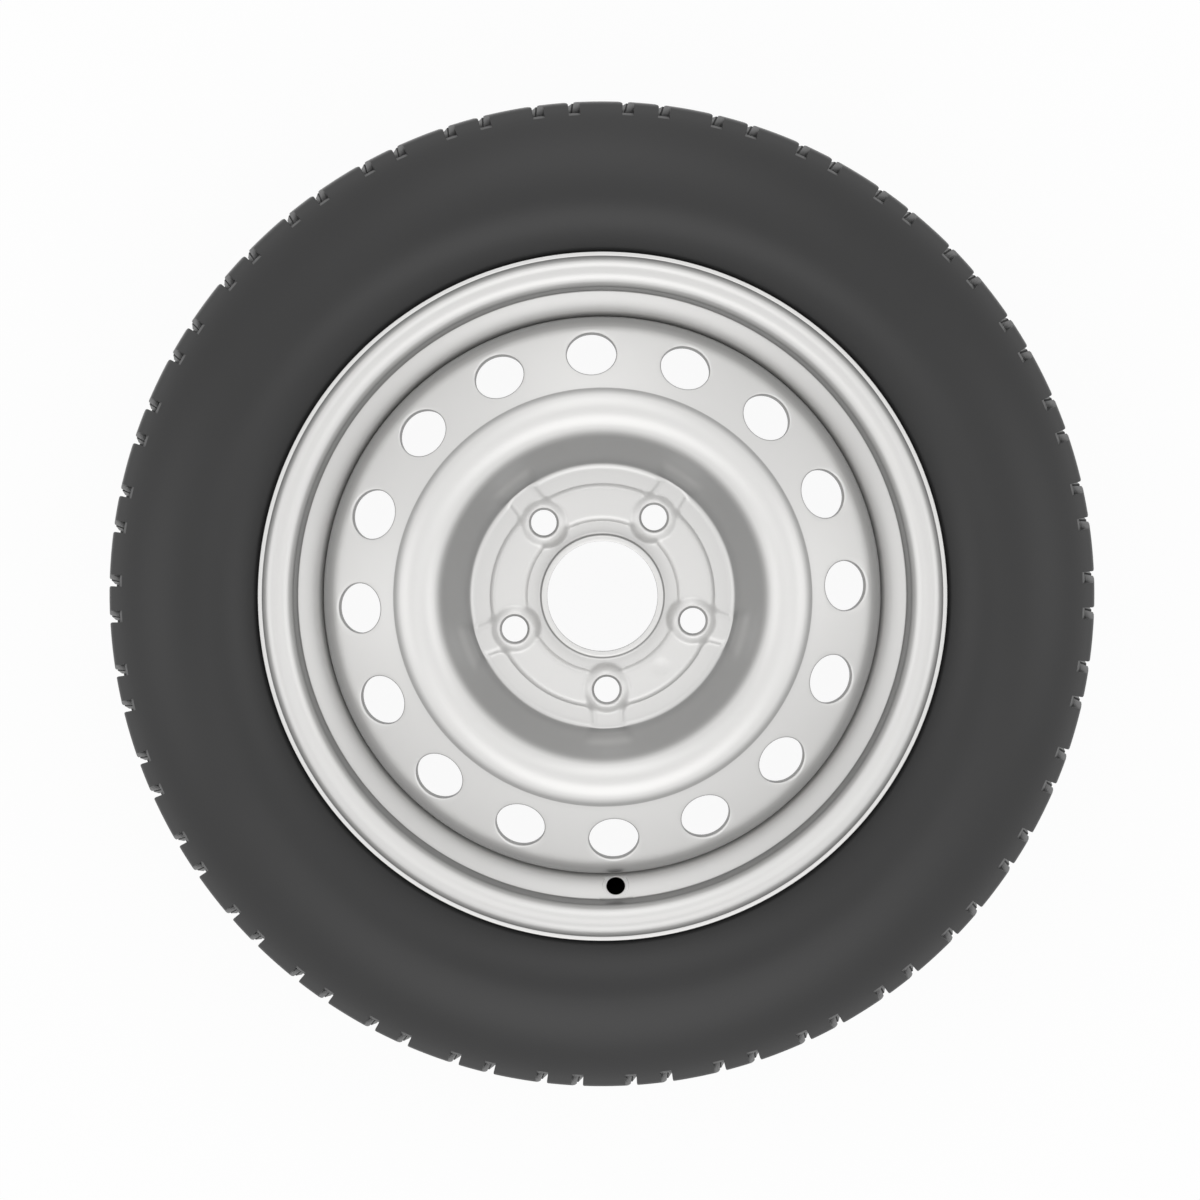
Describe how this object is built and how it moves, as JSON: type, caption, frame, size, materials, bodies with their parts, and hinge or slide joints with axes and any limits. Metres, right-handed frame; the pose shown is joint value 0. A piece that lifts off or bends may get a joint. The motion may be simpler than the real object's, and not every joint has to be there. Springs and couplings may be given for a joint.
{
  "type": "wheel and tyre assembly",
  "caption": "Pressed steel disc wheel with ventilation holes, raised bolt bosses and a fitted low tyre, for a car hub with a centre spigot.",
  "frame": {"origin": "on the wheel axis, in the plane that the inboard sidewall rests on", "axes": "+Z along the wheel axis towards the outboard face, -Y through the valve hole"},
  "size_m": [0.603, 0.603, 0.189],
  "materials": {
    "tyre_rubber": "matt black rubber",
    "silver_paint": "smooth silver grey paint, semi-gloss"
  },
  "bodies": {
    "root": {"tyre": "tyre_rubber", "rim": "silver_paint", "disc": "silver_paint", "weld_beads": "silver_paint"}
  },
  "joints": []
}
